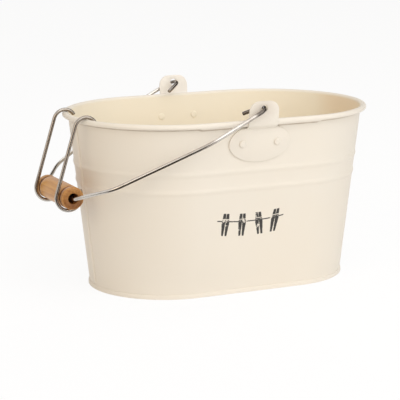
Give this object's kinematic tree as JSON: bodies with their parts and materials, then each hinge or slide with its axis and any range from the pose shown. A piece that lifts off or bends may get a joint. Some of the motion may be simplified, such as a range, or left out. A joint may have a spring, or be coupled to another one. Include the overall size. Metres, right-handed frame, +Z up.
{
  "type": "peg bucket",
  "caption": "Oval seamed sheet-steel bucket with a wired rim, riveted ears, a swinging wire bail with a turned wooden grip, and wire hooks that hang the grip on the rim.",
  "frame": {"origin": "middle of the base plate's underside, on the surface the bucket stands on", "axes": "+X along the long sides, away from the resting grip; +Y towards the rear; +Z up"},
  "size_m": [0.3039, 0.198, 0.1713],
  "materials": {
    "paint": "satin cream enamel",
    "steel": "bright drawn wire",
    "wood": "turned beech, waxed"
  },
  "bodies": {
    "bucket": {"front_wall": "paint", "rear_wall": "paint", "rim_wire": "steel", "base_plate": "paint", "front_ear": "paint", "rear_ear": "paint", "front_left_rivet": "paint", "front_right_rivet": "paint", "rear_left_rivet": "paint", "rear_right_rivet": "paint"},
    "bail": {"bail_wire": "steel"},
    "grip": {"grip": "wood"},
    "front_hook": {"front_hook": "steel"},
    "rear_hook": {"rear_hook": "steel"}
  },
  "joints": [
    {"name": "bail_swing", "type": "hinge", "parent": "bucket", "child": "bail", "pos_m": [0.00044, 0, 0.165], "axis": [0, 1, 0], "range_deg": [0, 205]},
    {"name": "grip_spin", "type": "hinge", "parent": "bail", "child": "grip", "pos_m": [-0.15031, 0, 0.08945], "axis": [0, 1, 0], "continuous": true},
    {"name": "front_hook_swing", "type": "hinge", "parent": "bail", "child": "front_hook", "pos_m": [-0.15031, 0, 0.08945], "axis": [0, 1, 0], "range_deg": [-236, 0]},
    {"name": "rear_hook_swing", "type": "hinge", "parent": "bail", "child": "rear_hook", "pos_m": [-0.15031, 0, 0.08945], "axis": [0, 1, 0], "range_deg": [-236, 0]}
  ],
  "couplings": [
    {"joint": "front_hook_swing", "follows": "bail_swing", "ratio": -1.1365},
    {"joint": "rear_hook_swing", "follows": "bail_swing", "ratio": -1.1365}
  ]
}
